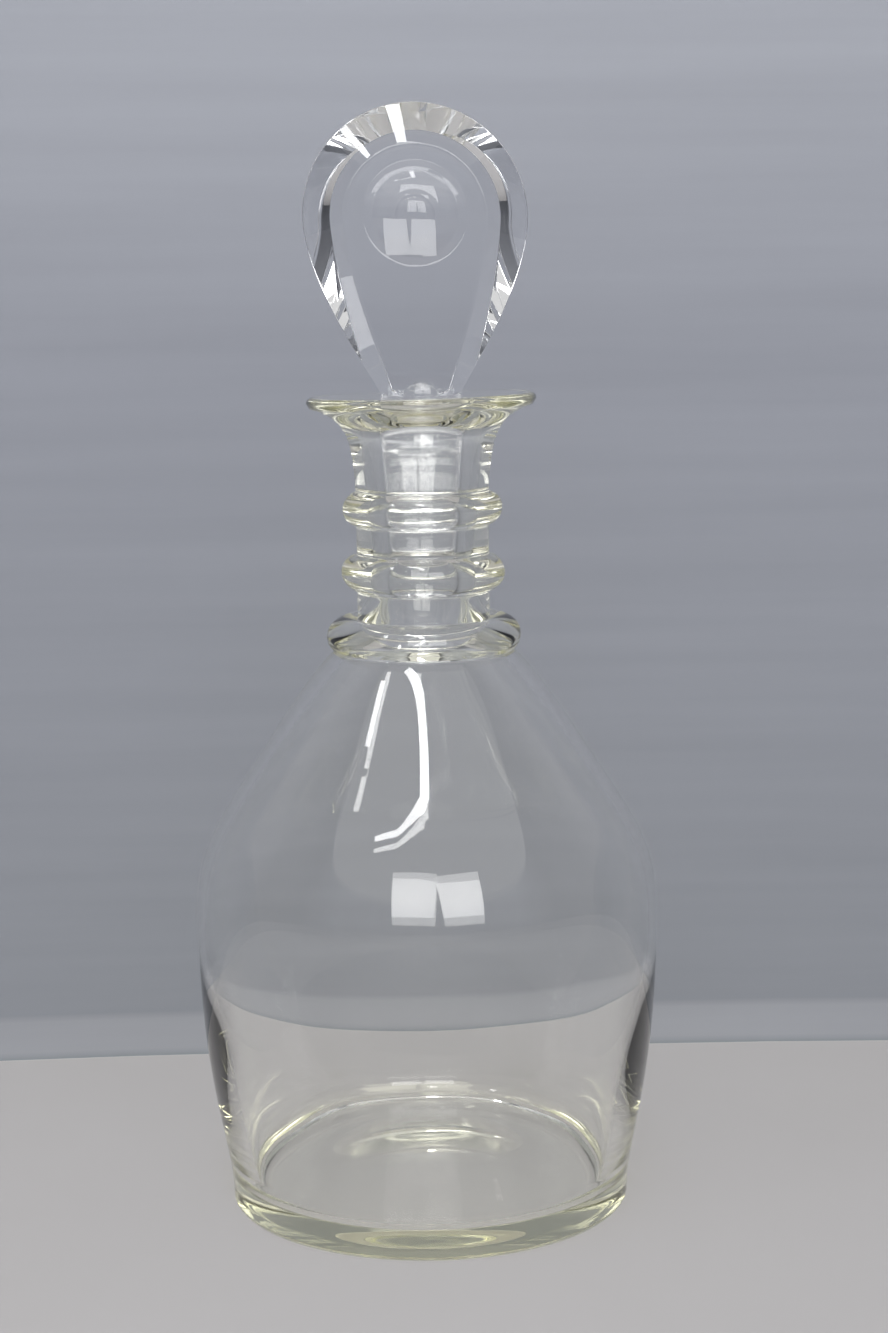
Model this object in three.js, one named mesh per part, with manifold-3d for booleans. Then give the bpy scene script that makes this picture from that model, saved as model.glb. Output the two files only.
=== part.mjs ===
// A blown glass decanter: hollow vessel with a flared lip, three glass rings laid round its neck,
// and a solid bevelled stopper whose ground peg sits in the tapered socket of the neck.
// Millimetres, +Z up, origin on the table under the middle of the foot. The flat faces of the stopper look
// towards -Y and +Y.
import * as THREE from 'three';
import { mergeVertices } from 'three/addons/utils/BufferGeometryUtils.js';
import Module from 'manifold-3d';

const wasm = await Module();
wasm.setup();

// Vessel, outside: radii
const footRadius = 51.2;
const bellyRadius = 58.8;
const slopeRadius = 41;
const collarRadius = 24.7;
const neckRadius = 16.7;
const lipRadius = 28.8;

// Vessel, outside: heights, each one above the last
const footEdgeRound = 1.6;
const bellyHeight = 72;
const slopeRise = 46;
const collarRise = 22.7;
const neckRootRise = 10.3;
const straightNeckLength = 27;
const flareRise = 26;
const lipThickness = 2.8;

// Vessel, outside: how far the radius leans per millimetre of height
const slopeLean = -0.65;
const collarLean = -0.9;
const lipLean = 3;

// Vessel, underside
const footRingWidth = 11;
const kickRise = 2.2;

// Vessel, walls; the knee is where the thick lower wall starts to thin
const floorThickness = 6.4;
const floorCrown = 1.2;
const floorCornerRound = 5;
const footWall = 4.2;
const wallFootLean = 0.22;
const kneeHeight = 38;
const kneeWall = 4;
const kneeLean = 0.2;
const bellyWall = 2.4;
const slopeWall = 3.6;
const collarWall = 4.6;
const boreRadius = 9.2;
const boreFlareRise = 7;

// Socket in the neck, and the mouth above it
const socketMouthRadius = 10.35;
const socketFootRadius = 8.3;
const socketLength = 31;
const mouthDepth = 9;
const mouthEdgeRadius = 25.6;

// Rings laid round the neck
const seatGap = 0.3;
const ringPitch = 16.1;
const lowerRingRise = 5.6;
const beadHalfWidth = 5;
const lowerRingProud = 7.8;
const lowerRingHalfHeight = 4.9;
const middleRingProud = 3.8;
const middleRingHalfHeight = 4.8;
const upperRingProud = 3.6;
const upperRingHalfHeight = 4.5;

// Stopper
const pegGap = 0.3;
const pegShortfall = 1.4;
const pegEdge = 0.8;
const finialRadius = 27.8;
const finialCentreRise = 43.7;
const finialThickness = 18.3;
const rimThickness = 4.5;
const bevelWidth = 10.2;
const rimFlank = { crownEnd: 10, crownHandle: 16, footAngle: 29, footHandle: 8 };
const flatFlank = { crownEnd: 5, crownHandle: 16, footAngle: 17, footHandle: 10.4 };
const neckFlatShare = 0.7;
const footConeSlope = 1.2;
const dimpleCentreRise = 44.4;
const dimpleRadius = 12.8;
const dimpleCurvature = 32;
const runOutRise = 8;

// Fineness of the faceted forms
const turns = 40;
const curveSteps = 5;
const flankSteps = 8;
const crownSteps = 24;
const dimpleSteps = 3;

// Heights worked out from the rises
const slopeHeight = bellyHeight + slopeRise;
const collarHeight = slopeHeight + collarRise;
const neckRootHeight = collarHeight + neckRootRise;
const flareHeight = neckRootHeight + straightNeckLength;
const lipHeight = flareHeight + flareRise;
const lipTopHeight = lipHeight + lipThickness;
const socketMouthHeight = lipTopHeight - mouthDepth;
const socketFootHeight = socketMouthHeight - socketLength;

const radians = (degrees) => (degrees * Math.PI) / 180;

// One stretch of a profile between two stations; a station is a point with its lean, the reach of its
// handles and the steps of the stretch above it
function stretch(low, high) {
  const curve = new THREE.CubicBezierCurve(
    new THREE.Vector2(low.r, low.z),
    new THREE.Vector2(low.r + low.lean * low.above, low.z + low.above),
    new THREE.Vector2(high.r - high.lean * high.below, high.z - high.below),
    new THREE.Vector2(high.r, high.z),
  );
  return curve.getPoints(low.steps);
}

// A smooth profile through stations, lowest first
function profileThrough(stations) {
  const points = [];
  for (let i = 0; i + 1 < stations.length; i += 1) {
    points.push(...stretch(stations[i], stations[i + 1]).slice(i === 0 ? 0 : 1));
  }
  return points;
}

// Reach of the curve handles that the outside and the inside share: above the belly, and below and above
// the slope
const bellyReachUp = slopeRise * 0.42;
const slopeReachDown = slopeRise * 0.53;
const slopeReachUp = collarRise * 0.35;

// The outside of the vessel from the edge of the foot to the underside of the lip
const outerProfile = profileThrough([
  { r: footRadius, z: footEdgeRound, lean: 0, above: bellyHeight * 0.2, steps: 6 },
  {
    r: bellyRadius,
    z: bellyHeight,
    lean: 0,
    below: bellyHeight * 0.58,
    above: bellyReachUp,
    steps: 8,
  },
  {
    r: slopeRadius,
    z: slopeHeight,
    lean: slopeLean,
    below: slopeReachDown,
    above: slopeReachUp,
    steps: 4,
  },
  {
    r: collarRadius,
    z: collarHeight,
    lean: collarLean,
    below: collarRise * 0.31,
    above: neckRootRise * 0.45,
    steps: 5,
  },
  {
    r: neckRadius,
    z: neckRootHeight,
    lean: 0,
    below: neckRootRise * 0.45,
    above: straightNeckLength / 3,
    steps: 1,
  },
  { r: neckRadius, z: flareHeight, lean: 0, below: straightNeckLength / 3, above: flareRise * 0.8, steps: 7 },
  { r: lipRadius - lipThickness / 4, z: lipHeight, lean: lipLean, below: flareRise * 0.1 },
]);

// Radius of the vessel's outside at a height on its wall
function outerRadius(z) {
  const next = outerProfile.findIndex((point) => point.y > z);
  const a = outerProfile[next - 1];
  const b = outerProfile[next];
  return a.x + ((b.x - a.x) * (z - a.y)) / (b.y - a.y);
}

// Radius of the socket at a height in the neck
function socketRadius(z) {
  const share = (z - socketFootHeight) / socketLength;
  return socketFootRadius + (socketMouthRadius - socketFootRadius) * share;
}

// The underside: a flat foot ring round a slightly raised middle, and the rounded edge of the foot
function undersideProfile() {
  const ringInner = footRadius - footEdgeRound - footRingWidth;
  const kick = new THREE.QuadraticBezierCurve(
    new THREE.Vector2(0, kickRise),
    new THREE.Vector2(ringInner * 0.6, kickRise),
    new THREE.Vector2(ringInner, 0),
  );
  const edge = new THREE.EllipseCurve(
    footRadius - footEdgeRound,
    footEdgeRound,
    footEdgeRound,
    footEdgeRound,
    -Math.PI / 2,
    0,
  );
  return [...kick.getPoints(curveSteps), ...edge.getPoints(3).slice(0, -1)];
}

// The rounded edge of the lip, from its underside over to the top of the mouth
function lipProfile() {
  const round = lipThickness / 2;
  const edge = new THREE.EllipseCurve(lipRadius - round, lipTopHeight - round, round, round, 0, Math.PI / 2);
  return edge.getPoints(4);
}

// The mouth and the socket, from the top of the lip down to the foot of the socket
function mouthProfile() {
  const funnel = new THREE.CubicBezierCurve(
    new THREE.Vector2(mouthEdgeRadius, lipTopHeight - lipThickness * 0.1),
    new THREE.Vector2((mouthEdgeRadius + socketMouthRadius) / 2, lipTopHeight - mouthDepth * 0.25),
    new THREE.Vector2(socketMouthRadius, socketMouthHeight + mouthDepth * 0.55),
    new THREE.Vector2(socketMouthRadius, socketMouthHeight),
  );
  return [...funnel.getPoints(curveSteps + 1), new THREE.Vector2(socketFootRadius, socketFootHeight)];
}

// The inside from the middle of the floor up to the bore under the socket
function insideProfile() {
  const floorEdge = footRadius - footWall;
  const floor = new THREE.QuadraticBezierCurve(
    new THREE.Vector2(0, floorThickness + floorCrown),
    new THREE.Vector2(floorEdge * 0.6, floorThickness + floorCrown),
    new THREE.Vector2(floorEdge - floorCornerRound, floorThickness),
  );
  const corner = new THREE.EllipseCurve(
    floorEdge - floorCornerRound,
    floorThickness + floorCornerRound,
    floorCornerRound,
    floorCornerRound,
    -Math.PI / 2,
    0,
  );
  const wallFoot = floorThickness + floorCornerRound;
  const lowReach = (kneeHeight - wallFoot) / 3;
  const upReach = bellyHeight - kneeHeight;
  const walls = profileThrough([
    { r: floorEdge, z: wallFoot, lean: wallFootLean, above: lowReach, steps: 4 },
    {
      r: outerRadius(kneeHeight) - kneeWall,
      z: kneeHeight,
      lean: kneeLean,
      below: lowReach,
      above: upReach * 0.35,
      steps: 4,
    },
    {
      r: bellyRadius - bellyWall,
      z: bellyHeight,
      lean: 0,
      below: upReach * 0.4,
      above: bellyReachUp,
      steps: 8,
    },
    {
      r: slopeRadius - slopeWall,
      z: slopeHeight,
      lean: slopeLean,
      below: slopeReachDown,
      above: slopeReachUp,
      steps: 4,
    },
    {
      r: collarRadius - collarWall,
      z: collarHeight,
      lean: collarLean,
      below: collarRise * 0.35,
      above: neckRootRise * 0.4,
      steps: 5,
    },
    { r: boreRadius, z: neckRootHeight + boreFlareRise, lean: 0, below: boreFlareRise },
  ]);
  return [...floor.getPoints(3), ...corner.getPoints(3).slice(1), ...walls.slice(1)];
}

// Turns a profile of radius and height about the Z axis
function turned(profile) {
  return new THREE.LatheGeometry(profile, turns).rotateX(Math.PI / 2);
}

function vesselGeometry() {
  const profile = [
    ...undersideProfile(),
    ...outerProfile.slice(0, -1),
    ...lipProfile(),
    ...mouthProfile(),
    ...insideProfile().reverse(),
  ];
  return turned(profile);
}

// The section of a ring: a bead whose inner side is cut to the neck, less the gap of its seat
function ringSection(height, proud, halfHeight) {
  const centreRadius = neckRadius + proud - beadHalfWidth;
  const low = -Math.PI / 2;
  const bead = new THREE.EllipseCurve(centreRadius, height, beadHalfWidth, halfHeight, low, -low);
  const clear = (point) => point.x - outerRadius(point.y) - seatGap;
  const crossing = (inside, outside) => {
    let [kept, cut] = [inside, outside];
    for (let i = 0; i < 30; i += 1) {
      const middle = (kept + cut) / 2;
      if (clear(bead.getPoint(middle)) > 0) kept = middle;
      else cut = middle;
    }
    return kept;
  };
  const first = crossing(0.5, 0);
  const last = crossing(0.5, 1);
  const outside = [];
  const outsideSteps = 2 * curveSteps;
  for (let i = 0; i <= outsideSteps; i += 1) {
    outside.push(bead.getPoint(first + ((last - first) * i) / outsideSteps));
  }
  const top = outside[outsideSteps].y;
  const bottom = outside[0].y;
  const seat = outerProfile.filter((point) => point.y > bottom && point.y < top);
  const seated = seat.reverse().map((point) => new THREE.Vector2(point.x + seatGap, point.y));
  return [...outside, ...seated, outside[0].clone()];
}

// The pear outline of the finial, or of its flat, as points from the neck up one side and down the other
function pearOutline(crownRadius, footHalfWidth, shape) {
  const start = radians(-shape.crownEnd);
  const crown = new THREE.EllipseCurve(0, finialCentreRise, crownRadius, crownRadius, start, Math.PI - start);
  const side = crown.getPoint(0);
  const along = (point, angle, length) =>
    new THREE.Vector2(
      point.x + length * Math.sin(radians(angle)),
      point.y + length * Math.cos(radians(angle)),
    );
  const foot = new THREE.Vector2(footHalfWidth, 0);
  const flank = new THREE.CubicBezierCurve(
    foot,
    along(foot, shape.footAngle, shape.footHandle),
    along(side, shape.crownEnd, -shape.crownHandle),
    side,
  );
  const right = flank.getPoints(flankSteps);
  const left = right.map((point) => new THREE.Vector2(-point.x, point.y)).reverse();
  return [...right.slice(0, -1), ...crown.getPoints(crownSteps), ...left.slice(1)];
}

// Rings of points on one face, from the rim in to the middle of the dimple, with depths from the mid plane
function faceRings(footHalfWidth) {
  const rim = pearOutline(finialRadius, footHalfWidth, rimFlank);
  const flat = pearOutline(finialRadius - bevelWidth, footHalfWidth * neckFlatShare, flatFlank);
  const halfThickness = finialThickness / 2;
  const edgeDrop = Math.sqrt(dimpleCurvature ** 2 - dimpleRadius ** 2);
  const rings = [
    rim.map((point) => [point.x, rimThickness / 2, point.y]),
    flat.map((point) => [point.x, halfThickness, point.y]),
  ];
  for (let step = dimpleSteps; step > 0; step -= 1) {
    const radius = (dimpleRadius * step) / dimpleSteps;
    const depth = halfThickness - (Math.sqrt(dimpleCurvature ** 2 - radius ** 2) - edgeDrop);
    rings.push(
      flat.map((point) => {
        const angle = Math.atan2(point.y - dimpleCentreRise, point.x);
        return [radius * Math.cos(angle), depth, dimpleCentreRise + radius * Math.sin(angle)];
      }),
    );
  }
  const centre = [0, halfThickness - (dimpleCurvature - edgeDrop), dimpleCentreRise];
  return { rings, centre };
}

// The bevelled finial as a closed mesh: two mirrored faces joined round the rim
function finialGeometry(footHalfWidth) {
  const { rings, centre } = faceRings(footHalfWidth);
  const count = rings[0].length;
  const positions = [];
  const triangles = [];
  const addFace = (side) => {
    const base = positions.length / 3;
    for (const ring of rings) for (const [x, y, z] of ring) positions.push(x, side * y, z);
    positions.push(centre[0], side * centre[1], centre[2]);
    const middle = base + rings.length * count;
    const turn = (a, b, c) => (side > 0 ? triangles.push(a, c, b) : triangles.push(a, b, c));
    for (let i = 0; i < count; i += 1) {
      const next = (i + 1) % count;
      for (let ring = 0; ring + 1 < rings.length; ring += 1) {
        const outer = base + ring * count;
        const inner = outer + count;
        turn(outer + i, outer + next, inner + next);
        turn(outer + i, inner + next, inner + i);
      }
      turn(middle - count + i, middle - count + next, middle);
    }
    return base;
  };
  const front = addFace(-1);
  const back = addFace(1);
  for (let i = 0; i < count; i += 1) {
    const next = (i + 1) % count;
    triangles.push(back + i, back + next, front + next, back + i, front + next, front + i);
  }
  const geometry = new THREE.BufferGeometry();
  geometry.setAttribute('position', new THREE.Float32BufferAttribute(positions, 3));
  geometry.setIndex(triangles);
  return geometry;
}

// The ground peg in the stopper's own frame, whose zero is the lip's top; it follows the socket's taper
function pegGeometry() {
  const local = (z) => z - lipTopHeight;
  const footZ = socketFootHeight + pegShortfall;
  const footR = socketRadius(footZ) - pegGap;
  const mouthR = socketMouthRadius - pegGap;
  const runOut = new THREE.EllipseCurve(0, 0, mouthR, runOutRise, 0, Math.PI / 2);
  return turned([
    new THREE.Vector2(0, local(footZ)),
    new THREE.Vector2(footR - pegEdge, local(footZ)),
    new THREE.Vector2(footR, local(footZ) + pegEdge),
    new THREE.Vector2(mouthR, local(socketMouthHeight)),
    ...runOut.getPoints(curveSteps),
  ]);
}

// A manifold solid from a closed three.js geometry
function solidFrom(geometry) {
  geometry.deleteAttribute('normal');
  geometry.deleteAttribute('uv');
  const merged = mergeVertices(geometry, 1e-4);
  const corners = merged.index.array;
  const kept = [];
  for (let i = 0; i < corners.length; i += 3) {
    const [a, b, c] = [corners[i], corners[i + 1], corners[i + 2]];
    if (a !== b && b !== c && c !== a) kept.push(a, b, c);
  }
  const vertProperties = new Float32Array(merged.attributes.position.array);
  return new wasm.Manifold(new wasm.Mesh({ numProp: 3, vertProperties, triVerts: new Uint32Array(kept) }));
}

// A cone that opens upward from the peg's mouth and takes the corners off the finial's foot
function footConeGeometry() {
  const low = socketMouthRadius - pegGap;
  const height = 3 * finialRadius;
  return turned([
    new THREE.Vector2(0, 0),
    new THREE.Vector2(low, 0),
    new THREE.Vector2(low + footConeSlope * height, height),
    new THREE.Vector2(0, height),
  ]);
}

function stopperGeometry() {
  const footHalfWidth = (socketMouthRadius - pegGap) * 0.96;
  const finial = solidFrom(finialGeometry(footHalfWidth)).intersect(solidFrom(footConeGeometry()));
  const joined = finial.add(solidFrom(pegGeometry()));
  const mesh = joined.getMesh();
  const geometry = new THREE.BufferGeometry();
  geometry.setAttribute('position', new THREE.BufferAttribute(mesh.vertProperties, 3));
  geometry.setIndex(new THREE.BufferAttribute(mesh.triVerts, 1));
  return geometry;
}

const vesselGlass = new THREE.MeshStandardMaterial({
  color: 0xdfe3cf,
  roughness: 0.03,
  metalness: 0,
  transparent: true,
  opacity: 0.35,
});
const stopperGlass = new THREE.MeshStandardMaterial({
  color: 0xe8edf2,
  roughness: 0.02,
  metalness: 0,
  transparent: true,
  opacity: 0.35,
});

function named(name, geometry, material) {
  const mesh = new THREE.Mesh(geometry, material);
  mesh.name = name;
  return mesh;
}

const decanter = new THREE.Group();
decanter.add(named('decanter_body', vesselGeometry(), vesselGlass));

const rings = [
  { name: 'neck_ring_lower', proud: lowerRingProud, halfHeight: lowerRingHalfHeight },
  { name: 'neck_ring_middle', proud: middleRingProud, halfHeight: middleRingHalfHeight },
  { name: 'neck_ring_upper', proud: upperRingProud, halfHeight: upperRingHalfHeight },
];
rings.forEach((ring, index) => {
  const height = collarHeight + lowerRingRise + index * ringPitch;
  decanter.add(named(ring.name, turned(ringSection(height, ring.proud, ring.halfHeight)), vesselGlass));
});

const stopper = named('stopper', stopperGeometry(), stopperGlass);
stopper.position.z = lipTopHeight;
decanter.add(stopper);

export default decanter;
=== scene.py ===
# A blown glass decanter with three rings round its neck and a bevelled clear stopper.
# The object's profiles are in millimetres, as in the part's source, and turn into metres in its meshes.
# The room, the lamps and the camera are in metres.
import math

import bpy
from mathutils import Matrix, Vector, noise
from mathutils.geometry import interpolate_bezier


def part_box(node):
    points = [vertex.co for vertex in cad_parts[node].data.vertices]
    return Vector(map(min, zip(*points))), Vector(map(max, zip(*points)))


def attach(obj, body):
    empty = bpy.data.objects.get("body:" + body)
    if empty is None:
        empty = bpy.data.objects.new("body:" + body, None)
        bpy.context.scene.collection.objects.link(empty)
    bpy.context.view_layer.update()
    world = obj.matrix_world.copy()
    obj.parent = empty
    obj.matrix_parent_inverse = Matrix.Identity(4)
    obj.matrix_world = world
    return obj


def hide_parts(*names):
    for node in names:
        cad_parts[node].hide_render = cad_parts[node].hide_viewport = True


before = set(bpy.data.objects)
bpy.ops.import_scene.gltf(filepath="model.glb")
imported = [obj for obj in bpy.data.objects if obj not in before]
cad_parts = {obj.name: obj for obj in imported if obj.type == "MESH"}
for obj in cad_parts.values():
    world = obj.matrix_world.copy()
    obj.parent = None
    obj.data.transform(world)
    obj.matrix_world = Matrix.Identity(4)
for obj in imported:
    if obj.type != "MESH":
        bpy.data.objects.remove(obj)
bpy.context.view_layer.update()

MM = 0.001

# Vessel: sizes from its solid
body_high = Vector(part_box("decanter_body")[1]) / MM
belly_radius = body_high.x
lip_top = body_high.z

# Vessel, outside: radii
foot_radius = 51.2
slope_radius = 41
collar_radius = 24.7
neck_radius = 16.7
lip_radius = 28.8

# Vessel, outside: heights
foot_edge_round = 1.6
belly_height = 72
slope_rise = 46
collar_rise = 22.7
neck_root_rise = 10.3
straight_neck = 27
lip_thickness = 2.8
slope_height = belly_height + slope_rise
collar_height = slope_height + collar_rise
neck_root_height = collar_height + neck_root_rise
flare_height = neck_root_height + straight_neck
lip_height = lip_top - lip_thickness
flare_rise = lip_height - flare_height

# Vessel, underside, floor and walls
foot_ring_width = 11
foot_ring_margin = 0.2
kick_rise = 2.2
floor_thickness = 6.4
floor_crown = 1.2
floor_corner = 5
foot_wall = 4.2
wall_foot_lean = 0.22
knee_height = 38
knee_wall = 4
knee_lean = 0.2
belly_wall = 2.4
slope_wall = 3.6
collar_wall = 4.6
bore_radius = 9.2
bore_flare_rise = 7

# Vessel: how far the radius leans per millimetre of height
slope_lean = -0.65
collar_lean = -0.9
lip_lean = 3

# Vessel, outside: how far the handles of its curves reach
foot_reach = belly_height * 0.2
belly_reach_down = belly_height * 0.58
belly_reach_up = slope_rise * 0.42
slope_reach_down = slope_rise * 0.53
slope_reach_up = collar_rise * 0.35
collar_reach_down = collar_rise * 0.31
neck_root_reach = neck_root_rise * 0.45
straight_reach = straight_neck / 3
flare_reach_up = flare_rise * 0.8
flare_reach_down = flare_rise * 0.1

# Vessel, inside: how far the handles of its curves reach, where they differ from the outside
knee_reach_up = (belly_height - knee_height) * 0.35
inner_belly_reach_down = (belly_height - knee_height) * 0.4
inner_collar_reach_down = collar_rise * 0.35
inner_collar_reach_up = neck_root_rise * 0.4

# Handles of the kick and of the floor: shares of the radius where each one ends, and of the crown left there
inner_handle_share = 0.4
outer_handle_share = 0.75
crown_left_share = 0.3

# Socket and mouth
socket_mouth_radius = 10.35
socket_foot_radius = 8.3
socket_length = 31
mouth_depth = 9
mouth_edge_radius = 25.6
mouth_edge_drop = lip_thickness * 0.1
mouth_handle_drop = mouth_depth * 0.25
mouth_handle_rise = mouth_depth * 0.55
socket_mouth = lip_top - mouth_depth
socket_foot = socket_mouth - socket_length

# Rings laid round the neck; the crease is where a ring's edge runs softly into the neck
ring_pitch = 16.1
lower_ring_rise = 5.6
bead_half_width = 5
rings = [
    {"proud": 7.8, "half_height": 4.9, "phase": 0.4},
    {"proud": 3.8, "half_height": 4.8, "phase": 2.3},
    {"proud": 3.6, "half_height": 4.5, "phase": 4.1},
]
crease = 0.5
crease_points = 2
bead_search_end = math.pi * 0.8
bead_search_rounds = 40

# Hand-made unevenness; the lip tilts above a height, and the hollow's play fades out towards the axis
lip_tilt = math.radians(1)
tilt_from = 190
ring_sway = 0.25
ring_swell = 0.2
inner_sway = 0.22
inner_sway_rise = 45
inner_sway_pace = 1.7
inner_sway_radius = 30

# Stopper
peg_gap = 0.3
peg_shortfall = 1.4
peg_edge = 0.8
peg_mouth_radius = socket_mouth_radius - peg_gap
run_out_rise = 8
finial_radius = 27.8
finial_centre = 43.7
finial_thickness = 18.3
rim_thickness = 4.5
bevel_width = 10.2
rim_flank = {"crown_end": 10, "crown_handle": 16, "foot_angle": 29, "foot_handle": 8}
flat_flank = {"crown_end": 5, "crown_handle": 16, "foot_angle": 17, "foot_handle": 10.4}
foot_width_share = 0.96
neck_flat_share = 0.7
foot_cone_slope = 1.2
foot_cone_height = 3 * finial_radius
dimple_centre = 44.4
dimple_radius = 12.8
dimple_curvature = 32
dimple_edge_share = 0.9
finial_lean = math.radians(1.2)
edge_soft = 0.25
sharp_angle = math.radians(40)

# Fineness
body_turns = 196
peg_turns = 160
curve_steps = 15
wall_steps = 2 * curve_steps
soft_steps = 3
edge_steps = 12
corner_steps = 10
crown_steps = 150
flank_steps = 45
dimple_steps = 14
peg_edge_steps = 6
peg_cone_steps = 12
run_out_steps = 16
foot_cone_steps = 8

# Ground band of peg and socket: where it ends, how it fades out, and how it looks
ground_radius = 11.2
ground_fade_outside = 0.5
ground_fade_inside = 1
ground_fade_radius = 0.2
ground_roughness = 0.06
scratch_stretch = (60, 60, 900)
scratch_detail = 4.0
scratch_share = 0.22

# Glass; the relief's depth is in metres
wave_scale = 22.0
wave_detail = 1.0
relief_strength = 0.25
relief_depth = 0.0006
refraction = 1.5
pass_through = (0.97, 0.97, 0.97, 1)
blown_tint = (0.87, 0.85, 0.3, 1)
blown_density = 4.5
clear_tint = (0.9, 0.93, 0.95, 1)
clear_density = 2.0

# Table
table_dark = (0.455, 0.44, 0.435, 1)
table_pale = (0.49, 0.475, 0.47, 1)
table_grain_scale = 9.0
table_grain_detail = 5.0
table_roughness = 0.75
table_gloss = 0.2
floor_reach = 6.0
floor_drop = 0.0001

# Wall: a round one, whose middle stands in front of the object
wall_distance = 0.1242
wall_turn = math.radians(2)
wall_radius = 3.0
wall_height = 2.5
wall_sides = 192
wall_middle = Vector((wall_radius * math.sin(wall_turn), wall_distance - wall_radius * math.cos(wall_turn)))

# Wall, colours: shares of the painted height, lowest first; the pale strip lies at the foot, and above it the
# colours grow paler upward as painted light, the gradient that lighting from above gives a wall
painted_height = 0.6
wall_colours_and_painted_light = [
    (0.0, (0.235, 0.255, 0.27, 1)),
    (0.0025, (0.30, 0.308, 0.33, 1)),
    (0.0195, (0.30, 0.308, 0.33, 1)),
    (0.0215, (0.235, 0.246, 0.268, 1)),
    (0.35, (0.262, 0.273, 0.308, 1)),
    (0.5, (0.325, 0.338, 0.375, 1)),
    (1.0, (0.38, 0.395, 0.44, 1)),
]
wall_roughness = 0.9
wall_gloss = 0.1

# Wall, shading: level streaks, a dimmer part beside the object, and painted light far in front of it, where
# the wall is made paler to stand in for lamp light that hardly reaches it
streak_stretch = (5, 5, 110)
streak_detail = 5.0
streak_noise = (0.25, 0.75)
streak_range = (0.955, 1.045)
side_from = 0.3
side_to = 0.7
side_shade = 0.4
# painted light on the far wall, between these depths: its colour is lifted to stand in for lamp light that
# hardly reaches it
far_from = -1.0
far_to = -3.0
far_painted_light = 2.2

# Window lamps: two upright panels; the gain is how much brighter the narrowed spread makes them head on
panel_middles = {"window_left": (-0.27, -2.2, 1.16), "window_right": (0.7, -2.2, 1.16)}
panel_target = (0, 0, 0.12)
panel_size = (0.9, 1.36)
panel_radiance = 5.2
panel_spread = math.radians(120)
panel_spread_gain = 2.3

# Ceiling lamps: level strips, as start, end and width, which shine back from the shoulder as a curved streak
strip_height = 1.72
strip_radiance = 16.0
strips = {
    "strip_back": ((-0.36, -0.33), (-0.1, -0.68), 0.165),
    "strip_right": ((-0.1, -0.66), (-0.01, -1.2), 0.165),
    "strip_front": ((0.0, -1.19), (-0.5, -1.255), 0.045),
    "strip_front_end": ((-0.5, -1.255), (-0.88, -1.19), 0.045),
    "strip_left": ((-0.88, -0.28), (-1.2, -0.75), 0.12),
}
room_light = (0.72, 0.72, 0.72, 1)
light_bounces = 24

# Camera, fitted to the ellipses of the foot, the rings and the lip
camera_place = (0, -0.63607, 0.2331935)
camera_yaw = -0.00783474
camera_down = 0.14846048
camera_roll = -0.01108725
camera_lens = 68.456
camera_sensor = 36


# Profiles

def bezier(p0, h0, h1, p1, steps):
    return interpolate_bezier(Vector(p0), Vector(h0), Vector(h1), Vector(p1), steps + 1)


def arc(centre, radii, start, end, steps):
    points = []
    for i in range(steps + 1):
        angle = start + (end - start) * i / steps
        x = centre[0] + radii[0] * math.cos(angle)
        y = centre[1] + radii[1] * math.sin(angle)
        points.append(Vector((x, y)))
    return points


def station(r, z, lean, below, above):
    return {"r": r, "z": z, "lean": lean, "below": below, "above": above}


def stretch(low, high):
    start = (low["r"], low["z"])
    end = (high["r"], high["z"])
    first = (low["r"] + low["lean"] * low["above"], low["z"] + low["above"])
    last = (high["r"] - high["lean"] * high["below"], high["z"] - high["below"])
    return bezier(start, first, last, end, wall_steps)


def through(stations):
    """A smooth profile through stations, lowest first."""
    points = []
    for low, high in zip(stations, stations[1:]):
        points += stretch(low, high)[1 if points else 0:]
    return points


def outer_wall():
    return through([
        station(foot_radius, foot_edge_round, 0, 0, foot_reach),
        station(belly_radius, belly_height, 0, belly_reach_down, belly_reach_up),
        station(slope_radius, slope_height, slope_lean, slope_reach_down, slope_reach_up),
        station(collar_radius, collar_height, collar_lean, collar_reach_down, neck_root_reach),
        station(neck_radius, neck_root_height, 0, neck_root_reach, straight_reach),
        station(neck_radius, flare_height, 0, straight_reach, flare_reach_up),
        station(lip_radius - lip_thickness / 4, lip_height, lip_lean, flare_reach_down, 0),
    ])


def radius_at(profile, z):
    for a, b in zip(profile, profile[1:]):
        if a.y <= z <= b.y:
            return a.x + (b.x - a.x) * (z - a.y) / (b.y - a.y)
    raise ValueError("the profile has no wall at this height")


def bead(profile, index):
    """The part of a ring's section that stands outside the wall, lowest point first."""
    ring = rings[index]
    height = collar_height + lower_ring_rise + index * ring_pitch
    centre = neck_radius + ring["proud"] - bead_half_width

    def at(angle):
        x = centre + bead_half_width * math.cos(angle)
        return Vector((x, height + ring["half_height"] * math.sin(angle)))

    def crossing(sign):
        kept, cut = 0.0, sign * bead_search_end
        for _ in range(bead_search_rounds):
            middle = (kept + cut) / 2
            point = at(middle)
            if point.x > radius_at(profile, point.y):
                kept = middle
            else:
                cut = middle
        return kept

    first, last = crossing(-1), crossing(1)
    return [at(first + (last - first) * i / wall_steps) for i in range(wall_steps + 1)]


def softened(points, reach):
    """Rounds the middle one of three points over a short reach."""
    before, corner, after = points
    a = corner + (before - corner).normalized() * min(reach, (before - corner).length / 2)
    b = corner + (after - corner).normalized() * min(reach, (after - corner).length / 2)
    out = []
    for i in range(soft_steps + 1):
        t = i / soft_steps
        out.append(a * (1 - t) ** 2 + corner * 2 * t * (1 - t) + b * t ** 2)
    return out


def held(points):
    """A softened edge with one more point on each side, which keeps the faces beside it flat."""
    before, corner, after = points
    soft = softened(points, edge_soft)
    first = soft[0] + (before - corner).normalized() * edge_soft / 2
    last = soft[-1] + (after - corner).normalized() * edge_soft / 2
    return [first] + soft + [last]


def plain(points):
    return [(point.x, point.y, None, 0.0) for point in points]


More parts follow.
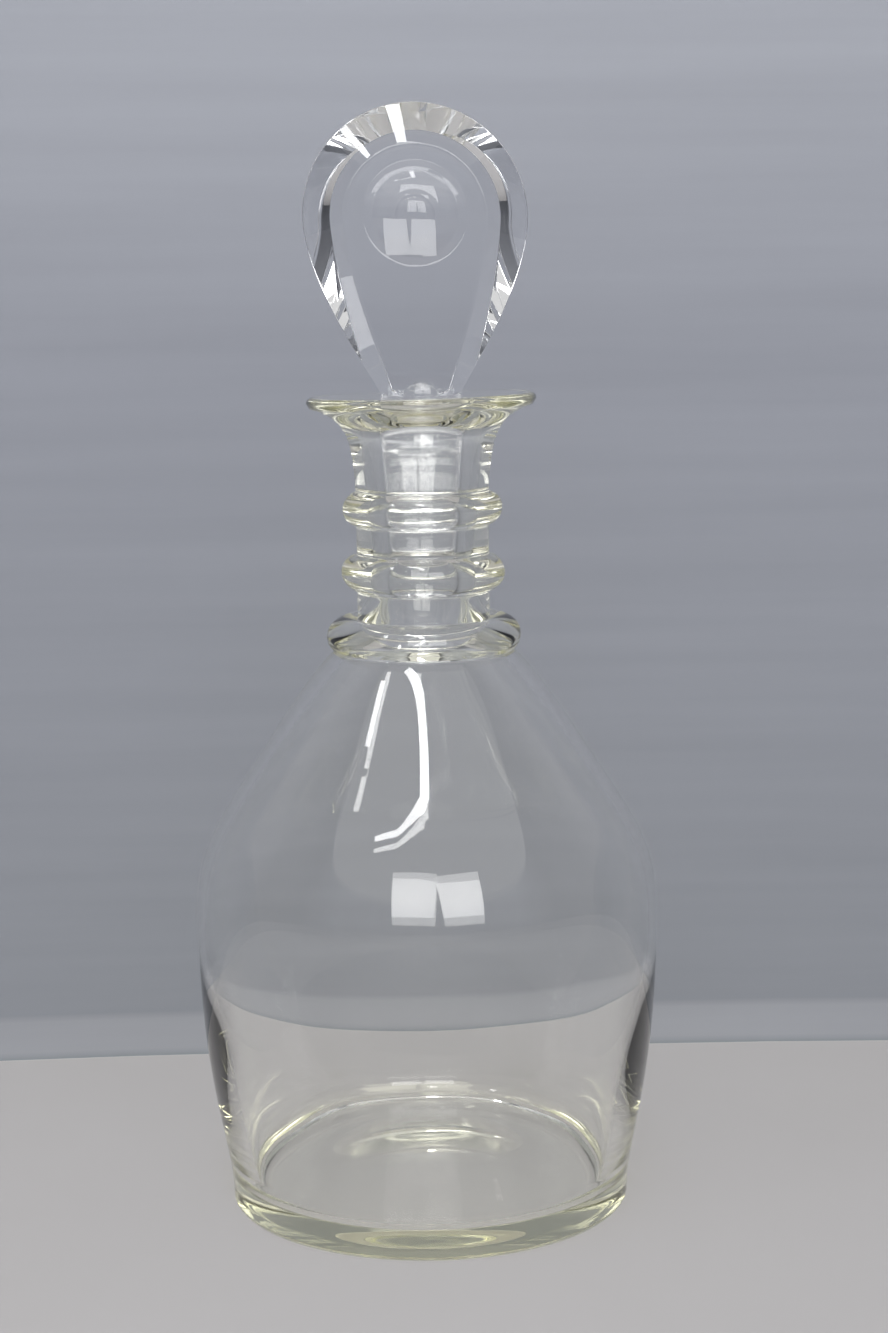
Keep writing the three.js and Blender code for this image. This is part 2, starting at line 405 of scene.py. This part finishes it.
def outside_with_rings():
    """Points (radius, height, ring, weight) from the foot to the lip; weight is 1 on a ring's crown."""
    wall = outer_wall()
    path = []
    rest = wall
    for index in range(len(rings)):
        outline = bead(wall, index)
        low, high = outline[0].y, outline[-1].y
        below = [point for point in rest if point.y < low - crease]
        rest = [point for point in rest if point.y > high + crease]
        path += plain(below)
        path += plain(softened((below[-1], outline[0], outline[crease_points]), crease))
        count = len(outline) - 1
        for i in range(crease_points + 1, count - crease_points):
            weight = math.sin(math.pi * i / count)
            path.append((outline[i].x, outline[i].y, index, weight))
        path += plain(softened((outline[-1 - crease_points], outline[-1], rest[0]), crease))
    return path + plain(rest)


def underside():
    ring_inner = foot_radius - foot_edge_round - foot_ring_width
    kick = bezier(
        (0, kick_rise),
        (ring_inner * inner_handle_share, kick_rise),
        (ring_inner * outer_handle_share, 0),
        (ring_inner, 0),
        wall_steps,
    )
    centre = (foot_radius - foot_edge_round, foot_edge_round)
    edge = arc(centre, (foot_edge_round, foot_edge_round), -math.pi / 2, 0, edge_steps)
    flat = [Vector((ring_inner + foot_ring_margin, 0)), Vector((edge[0].x - foot_ring_margin, 0))]
    return kick + flat + edge[:-1]


def lip():
    half = lip_thickness / 2
    return arc((lip_radius - half, lip_top - half), (half, half), 0, math.pi / 2, edge_steps)


def mouth():
    funnel = bezier(
        (mouth_edge_radius, lip_top - mouth_edge_drop),
        ((mouth_edge_radius + socket_mouth_radius) / 2, lip_top - mouth_handle_drop),
        (socket_mouth_radius, socket_mouth + mouth_handle_rise),
        (socket_mouth_radius, socket_mouth),
        wall_steps,
    )
    return funnel + [Vector((socket_foot_radius, socket_foot))]


def inside():
    """The hollow from the middle of the floor up to the bore under the socket."""
    floor_edge = foot_radius - foot_wall
    floor = bezier(
        (0, floor_thickness + floor_crown),
        (floor_edge * inner_handle_share, floor_thickness + floor_crown),
        (floor_edge * outer_handle_share, floor_thickness + floor_crown * crown_left_share),
        (floor_edge - floor_corner, floor_thickness),
        curve_steps,
    )
    wall_foot = floor_thickness + floor_corner
    centre = (floor_edge - floor_corner, wall_foot)
    corner = arc(centre, (floor_corner, floor_corner), -math.pi / 2, 0, corner_steps)
    knee = radius_at(outer_wall(), knee_height) - knee_wall
    low_reach = (knee_height - wall_foot) / 3
    slope = slope_radius - slope_wall
    collar = collar_radius - collar_wall
    walls = through([
        station(floor_edge, wall_foot, wall_foot_lean, 0, low_reach),
        station(knee, knee_height, knee_lean, low_reach, knee_reach_up),
        station(belly_radius - belly_wall, belly_height, 0, inner_belly_reach_down, belly_reach_up),
        station(slope, slope_height, slope_lean, slope_reach_down, slope_reach_up),
        station(collar, collar_height, collar_lean, inner_collar_reach_down, inner_collar_reach_up),
        station(bore_radius, neck_root_height + bore_flare_rise, 0, bore_flare_rise, 0),
    ])
    return floor + corner[1:] + walls[1:]


# Meshes

def mesh_object(name, verts, faces):
    mesh = bpy.data.meshes.new(name)
    mesh.from_pydata(verts, [], faces)
    mesh.validate()
    mesh.shade_smooth()
    piece = bpy.data.objects.new(name, mesh)
    bpy.context.scene.collection.objects.link(piece)
    return piece


def turned(name, profile, turns, place):
    """Turns a profile that starts and ends on the axis; place gives a point from an entry and an angle."""
    verts = [place(profile[0], 0.0)]
    for entry in profile[1:-1]:
        verts += [place(entry, 2 * math.pi * step / turns) for step in range(turns)]
    verts.append(place(profile[-1], 0.0))
    top = len(verts) - 1
    bands = len(profile) - 3
    last = 1 + bands * turns
    faces = []
    for step in range(turns):
        after = (step + 1) % turns
        faces.append((0, 1 + after, 1 + step))
        for row in range(bands):
            a = 1 + row * turns
            b = a + turns
            faces.append((a + step, a + after, b + after, b + step))
        faces.append((last + step, last + after, top))
    return mesh_object(name, verts, faces)


def turned_point(point, angle):
    return Vector((point.x * math.cos(angle), point.x * math.sin(angle), point.y)) * MM


def vessel_point(entry, angle):
    """One point of the vessel, with the sway of its rings, the play of its hollow and the tilt of its lip."""
    r, z, ring, weight = entry
    if ring == "hollow":
        where = Vector((math.cos(angle), math.sin(angle), z / inner_sway_rise))
        r += inner_sway * weight * noise.noise(where * inner_sway_pace)
    elif ring is not None:
        phase = rings[ring]["phase"]
        r += ring_swell * weight * math.sin(2 * angle + phase)
        z += ring_sway * weight * math.sin(angle + 2 * phase)
    x, y = r * math.cos(angle), r * math.sin(angle)
    share = min(max((z - tilt_from) / (lip_top - tilt_from), 0), 1)
    z += math.tan(lip_tilt) * x * share
    return Vector((x, y, z)) * MM


def vessel():
    hollow = []
    for point in reversed(inside()):
        weight = min(point.x / inner_sway_radius, 1)
        hollow.append((point.x, point.y, "hollow", weight))
    profile = plain(underside()) + outside_with_rings() + plain(lip()) + plain(mouth()) + hollow
    return turned("decanter_glass", profile, body_turns, vessel_point)


def pear(crown_radius, foot_half_width, shape):
    """The outline of the finial or its flat, up one side from the neck and down the other."""
    start = -math.radians(shape["crown_end"])
    crown = arc((0, finial_centre), (crown_radius, crown_radius), start, math.pi - start, crown_steps)
    side = crown[0]
    foot = Vector((foot_half_width, 0))
    lean = math.radians(shape["foot_angle"])
    leaving = foot + shape["foot_handle"] * Vector((math.sin(lean), math.cos(lean)))
    arriving = side - shape["crown_handle"] * Vector((math.sin(-start), math.cos(start)))
    right = bezier(foot, leaving, arriving, side, flank_steps)
    left = [Vector((-point.x, point.y)) for point in reversed(right)]
    return right[:-1] + crown + left[1:]


def strand(rim, flat):
    """Points across one face of the finial, from the rim to the middle of the dimple, as (x, z, depth)."""
    half = finial_thickness / 2
    angle = math.atan2(flat.y - dimple_centre, flat.x)
    edge_drop = math.sqrt(dimple_curvature ** 2 - dimple_radius ** 2)

    def in_dimple(radius):
        depth = half - (math.sqrt(dimple_curvature ** 2 - radius ** 2) - edge_drop)
        return Vector((radius * math.cos(angle), dimple_centre + radius * math.sin(angle), depth))

    rim_middle = Vector((rim.x, rim.y, 0))
    rim_edge = Vector((rim.x, rim.y, rim_thickness / 2))
    flat_edge = Vector((flat.x, flat.y, half))
    dimple_edge = in_dimple(dimple_radius)
    points = [rim_middle]
    points += held((rim_middle, rim_edge, flat_edge))
    points += held((rim_edge, flat_edge, dimple_edge))
    points += held((flat_edge, dimple_edge, in_dimple(dimple_radius * dimple_edge_share)))
    points += [in_dimple(dimple_radius * (1 - step / dimple_steps)) for step in range(1, dimple_steps)]
    return points


def finial():
    """The bevelled finial as a closed mesh: two mirrored faces joined round the rim."""
    half_width = peg_mouth_radius * foot_width_share
    rim = pear(finial_radius, half_width, rim_flank)
    flat = pear(finial_radius - bevel_width, half_width * neck_flat_share, flat_flank)
    strands = [strand(a, b) for a, b in zip(rim, flat)]
    count = len(strands)
    rows = len(strands[0])
    half = finial_thickness / 2
    bottom = half - (dimple_curvature - math.sqrt(dimple_curvature ** 2 - dimple_radius ** 2))

    def place(x, z, depth):
        lean = math.tan(finial_lean) * z
        return Vector((x - lean, depth, z + lip_top)) * MM

    verts = [place(*strands[i][0]) for i in range(count)]
    faces = []
    for side in (-1, 1):
        start = len(verts) - count
        for row in range(1, rows):
            for i in range(count):
                x, z, depth = strands[i][row]
                verts.append(place(x, z, side * depth))
        middle = len(verts)
        verts.append(place(0, dimple_centre, side * bottom))
        for row in range(rows - 1):
            inner = start + count * (row + 1)
            outer = inner - count if row else 0
            for i in range(count):
                after = (i + 1) % count
                face = (outer + i, outer + after, inner + after, inner + i)
                faces.append(face if side < 0 else face[::-1])
        last = start + count * (rows - 1)
        for i in range(count):
            face = (last + i, last + (i + 1) % count, middle)
            faces.append(face if side < 0 else face[::-1])
    return mesh_object("finial", verts, faces)


def peg():
    """The ground peg, which follows the socket's taper, with a dome on top that ends inside the finial."""
    foot_z = socket_foot + peg_shortfall
    taper = (socket_mouth_radius - socket_foot_radius) / socket_length
    foot_r = socket_foot_radius + taper * peg_shortfall - peg_gap
    edge = arc((foot_r - peg_edge, foot_z + peg_edge), (peg_edge, peg_edge), -math.pi / 2, 0, peg_edge_steps)
    cone = []
    for i in range(1, peg_cone_steps + 1):
        r = foot_r + (peg_mouth_radius - foot_r) * i / peg_cone_steps
        z = foot_z + peg_edge + (socket_mouth - foot_z - peg_edge) * i / peg_cone_steps
        cone.append(Vector((r, z)))
    run_out = arc((0, lip_top), (peg_mouth_radius, run_out_rise), 0, math.pi / 2, run_out_steps)
    profile = [Vector((0, foot_z))] + edge + cone + run_out
    return turned("stopper_glass", profile, peg_turns, turned_point)


def apply_modifiers(piece):
    evaluated = piece.evaluated_get(bpy.context.evaluated_depsgraph_get())
    mesh = bpy.data.meshes.new_from_object(evaluated)
    piece.modifiers.clear()
    piece.data = mesh


def combine(piece, other, operation):
    join = piece.modifiers.new("join", "BOOLEAN")
    join.operation = operation
    join.solver = "MANIFOLD"
    join.object = other
    apply_modifiers(piece)
    bpy.data.objects.remove(other)


def foot_cone():
    """A cone that opens upward from the peg's mouth and takes the corners off the finial's foot."""
    low = peg_mouth_radius
    high = low + foot_cone_slope * foot_cone_height
    rim = []
    for i in range(foot_cone_steps + 1):
        r = low + (high - low) * i / foot_cone_steps
        rim.append(Vector((r, lip_top + foot_cone_height * i / foot_cone_steps)))
    profile = [Vector((0, lip_top))] + rim + [Vector((0, lip_top + foot_cone_height))]
    return turned("cone", profile, peg_turns, turned_point)


def stopper():
    piece = peg()
    top = finial()
    combine(top, foot_cone(), "INTERSECT")
    combine(piece, top, "UNION")
    piece.data.materials.clear()
    piece.data.set_sharp_from_angle(angle=sharp_angle)
    weighted = piece.modifiers.new("normals", "WEIGHTED_NORMAL")
    weighted.keep_sharp = True
    return piece


# Materials

class Nodes:
    """Small helper that adds nodes to one material and links them."""

    def __init__(self, name):
        self.material = bpy.data.materials.new(name)
        self.material.use_nodes = True
        self.tree = self.material.node_tree
        self.shader = self.tree.nodes["Principled BSDF"]
        self.output = self.tree.nodes["Material Output"]

    def add(self, kind, values=None, **settings):
        node = self.tree.nodes.new(kind)
        for key, value in settings.items():
            setattr(node, key, value)
        for key, value in (values or {}).items():
            if isinstance(value, bpy.types.NodeSocket):
                self.tree.links.new(value, node.inputs[key])
            else:
                node.inputs[key].default_value = value
        return node

    def maths(self, operation, a, b=0.0):
        return self.add("ShaderNodeMath", {0: a, 1: b}, operation=operation).outputs[0]

    def mapped(self, value, low, high, to_low, to_high):
        inputs = {0: value, 1: low, 2: high, 3: to_low, 4: to_high}
        return self.add("ShaderNodeMapRange", inputs).outputs[0]

    def stretched(self, vector, scales):
        return self.add("ShaderNodeVectorMath", {0: vector, 1: scales}, operation="MULTIPLY").outputs[0]

    def noise(self, vector, scale, detail):
        node = self.add("ShaderNodeTexNoise", {"Vector": vector, "Scale": scale, "Detail": detail})
        return node.outputs["Fac"]

    def link(self, source, target):
        self.tree.links.new(source, target)


def ground_band(n, place):
    """1 on the ground faces of peg and socket, 0 elsewhere, with a short fade between."""
    split = n.add("ShaderNodeSeparateXYZ", {0: place})
    flat = n.add("ShaderNodeCombineXYZ", {0: split.outputs[0], 1: split.outputs[1]})
    radius = n.add("ShaderNodeVectorMath", {0: flat.outputs[0]}, operation="LENGTH").outputs["Value"]
    height = split.outputs[2]
    foot_start = (socket_foot - ground_fade_outside) * MM
    foot_end = (socket_foot + ground_fade_inside) * MM
    mouth_start = (socket_mouth + ground_fade_outside) * MM
    mouth_end = (socket_mouth - ground_fade_inside) * MM
    above = n.mapped(height, foot_start, foot_end, 0.0, 1.0)
    below = n.mapped(height, mouth_start, mouth_end, 0.0, 1.0)
    near = n.mapped(radius, (ground_radius + ground_fade_radius) * MM, ground_radius * MM, 0.0, 1.0)
    return n.maths("MULTIPLY", n.maths("MULTIPLY", above, below), near)


def glass(name, tint, density):
    """Clear glass, faintly wavy, with level scratches on a ground band where the peg meets its socket. Shadow
    and diffuse rays pass straight through it, a little dimmed, so that light reaches what stands behind."""
    n = Nodes(name)
    place = n.add("ShaderNodeTexCoord").outputs["Object"]
    ground = ground_band(n, place)
    n.link(n.maths("MULTIPLY", ground, ground_roughness), n.shader.inputs["Roughness"])
    wave = n.noise(place, wave_scale, wave_detail)
    level = n.noise(n.stretched(place, scratch_stretch), 1.0, scratch_detail)
    scratches = n.maths("MULTIPLY", level, n.maths("MULTIPLY", ground, scratch_share))
    relief = n.maths("ADD", wave, scratches)
    settings = {"Strength": relief_strength, "Distance": relief_depth, "Height": relief}
    n.link(n.add("ShaderNodeBump", settings).outputs[0], n.shader.inputs["Normal"])
    n.shader.inputs["Base Color"].default_value = (1, 1, 1, 1)
    n.shader.inputs["IOR"].default_value = refraction
    n.shader.inputs["Transmission Weight"].default_value = 1.0
    path = n.add("ShaderNodeLightPath")
    lit = n.maths("MAXIMUM", path.outputs["Is Shadow Ray"], path.outputs["Is Diffuse Ray"])
    clear = n.add("ShaderNodeBsdfTransparent", {"Color": pass_through}).outputs[0]
    mix = n.add("ShaderNodeMixShader", {0: lit, 1: n.shader.outputs[0], 2: clear})
    n.link(mix.outputs[0], n.output.inputs["Surface"])
    absorption = n.add("ShaderNodeVolumeAbsorption", {"Color": tint, "Density": density})
    n.link(absorption.outputs[0], n.output.inputs["Volume"])
    return n.material


def table_material():
    n = Nodes("table")
    place = n.add("ShaderNodeTexCoord").outputs["Object"]
    grain = n.noise(place, table_grain_scale, table_grain_detail)
    mix = n.add("ShaderNodeMix", {0: grain, 6: table_dark, 7: table_pale}, data_type="RGBA")
    n.link(mix.outputs[2], n.shader.inputs["Base Color"])
    n.shader.inputs["Roughness"].default_value = table_roughness
    n.shader.inputs["Specular IOR Level"].default_value = table_gloss
    return n.material


def wall_colour_and_painted_light(n, height):
    """The wall's colour at a height, with painted light that makes it paler upward."""
    ramp = n.add("ShaderNodeValToRGB", {0: n.mapped(height, 0.0, painted_height, 0.0, 1.0)})
    elements = ramp.color_ramp.elements
    ready = len(elements)
    for index, (position, colour) in enumerate(wall_colours_and_painted_light):
        element = elements[index] if index < ready else elements.new(position)
        element.position = position
        element.color = colour
    return ramp.outputs[0]


def wall_material():
    """A faintly streaked blue-grey wall with a pale strip at its foot, painted paler upward as painted light;
    it is dimmer beside the object, painted paler on the far side of the room as painted light where little
    lamp light reaches it, and open when seen from behind."""
    n = Nodes("wall")
    place = n.add("ShaderNodeTexCoord").outputs["Object"]
    split = n.add("ShaderNodeSeparateXYZ", {0: place})
    # the wall's colour carries painted light: it grows paler upward
    colour = wall_colour_and_painted_light(n, split.outputs[2])
    level = n.noise(n.stretched(place, streak_stretch), 1.0, streak_detail)
    streaks = n.mapped(level, *streak_noise, *streak_range)
    side = n.mapped(n.maths("ABSOLUTE", split.outputs[0]), side_from, side_to, 1.0, side_shade)
    # painted light: the far part of the wall is made paler to stand in for lamp light that hardly reaches it
    far = n.mapped(split.outputs[1], far_from, far_to, 0.0, 1.0)
    near_part = n.maths("MULTIPLY", side, n.maths("SUBTRACT", 1.0, far))
    brightness = n.maths("ADD", near_part, n.maths("MULTIPLY", far, far_painted_light))
    shade = n.maths("MULTIPLY", streaks, brightness)
    tone = n.add("ShaderNodeVectorMath", {0: colour, "Scale": shade}, operation="SCALE")
    n.link(tone.outputs[0], n.shader.inputs["Base Color"])
    n.shader.inputs["Roughness"].default_value = wall_roughness
    n.shader.inputs["Specular IOR Level"].default_value = wall_gloss
    behind = n.add("ShaderNodeNewGeometry").outputs["Backfacing"]
    clear = n.add("ShaderNodeBsdfTransparent").outputs[0]
    mix = n.add("ShaderNodeMixShader", {0: behind, 1: n.shader.outputs[0], 2: clear})
    n.link(mix.outputs[0], n.output.inputs["Surface"])
    return n.material


# Stage, light and camera

def stage_piece(name, verts, faces, material):
    piece = mesh_object(name, verts, faces)
    piece.data.materials.append(material)


def build_wall():
    low = []
    for side in range(wall_sides):
        angle = 2 * math.pi * side / wall_sides
        x = wall_middle.x + wall_radius * math.cos(angle)
        y = wall_middle.y + wall_radius * math.sin(angle)
        low.append((x, y, 0.0))
    high = [(x, y, wall_height) for x, y, z in low]
    faces = []
    for side in range(wall_sides):
        after = (side + 1) % wall_sides
        faces.append((after, side, side + wall_sides, after + wall_sides))
    stage_piece("wall", low + high, faces, wall_material())


def build_table():
    left, right = -floor_reach, floor_reach
    front, back = -2 * floor_reach, floor_reach
    outline = [(left, front), (right, front), (right, back), (left, back)]
    verts = [(x, y, -floor_drop) for x, y in outline]
    stage_piece("table", verts, [(0, 1, 2, 3)], table_material())


def area_lamp(name, size, radiance):
    """An area lamp that glows with a given radiance; it is placed by what calls it."""
    data = bpy.data.lights.new(name, "AREA")
    data.shape = "RECTANGLE"
    data.size, data.size_y = size
    data.energy = math.pi * size[0] * size[1] * radiance
    lamp = bpy.data.objects.new(name, data)
    bpy.context.scene.collection.objects.link(lamp)
    return lamp


def panel(name, middle):
    """A window lamp that faces the object and keeps most of its light off the floor below it."""
    lamp = area_lamp(name, panel_size, panel_radiance / panel_spread_gain)
    lamp.data.spread = panel_spread
    facing = (Vector(panel_target) - Vector(middle)).to_track_quat("-Z", "Y").to_matrix().to_4x4()
    lamp.matrix_world = Matrix.Translation(middle) @ facing


def ceiling_strip(name, start, end, width):
    a, b = Vector(start), Vector(end)
    middle = (a + b) / 2
    along = b - a
    lamp = area_lamp(name, (along.length, width), strip_radiance)
    lamp.location = (middle.x, middle.y, strip_height)
    lamp.rotation_euler = (0, 0, math.atan2(along.y, along.x))


def build_lights():
    for name, middle in panel_middles.items():
        panel(name, middle)
    for name, (start, end, width) in strips.items():
        ceiling_strip(name, start, end, width)
    world = bpy.data.worlds.new("room")
    world.use_nodes = True
    world.node_tree.nodes["Background"].inputs["Color"].default_value = room_light
    bpy.context.scene.world = world


def build_camera():
    data = bpy.data.cameras.new("camera")
    data.sensor_width = camera_sensor
    data.lens = camera_lens
    camera = bpy.data.objects.new("camera", data)
    bpy.context.scene.collection.objects.link(camera)
    yaw = Matrix.Rotation(camera_yaw, 4, "Z")
    pitch = Matrix.Rotation(math.pi / 2 - camera_down, 4, "X")
    roll = Matrix.Rotation(camera_roll, 4, "Z")
    camera.matrix_world = Matrix.Translation(camera_place) @ yaw @ pitch @ roll
    bpy.context.scene.camera = camera


def dress():
    body = vessel()
    body.data.materials.append(glass("blown_glass", blown_tint, blown_density))
    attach(body, "decanter")
    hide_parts("decanter_body", "neck_ring_lower", "neck_ring_middle", "neck_ring_upper")
    top = stopper()
    top.data.materials.append(glass("stopper_clear_glass", clear_tint, clear_density))
    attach(top, "stopper")
    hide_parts("stopper")


build_wall()
build_table()
build_lights()
build_camera()
dress()

scene = bpy.context.scene
scene.view_settings.view_transform = "Standard"
scene.cycles.max_bounces = light_bounces
scene.cycles.transmission_bounces = light_bounces
scene.cycles.glossy_bounces = light_bounces
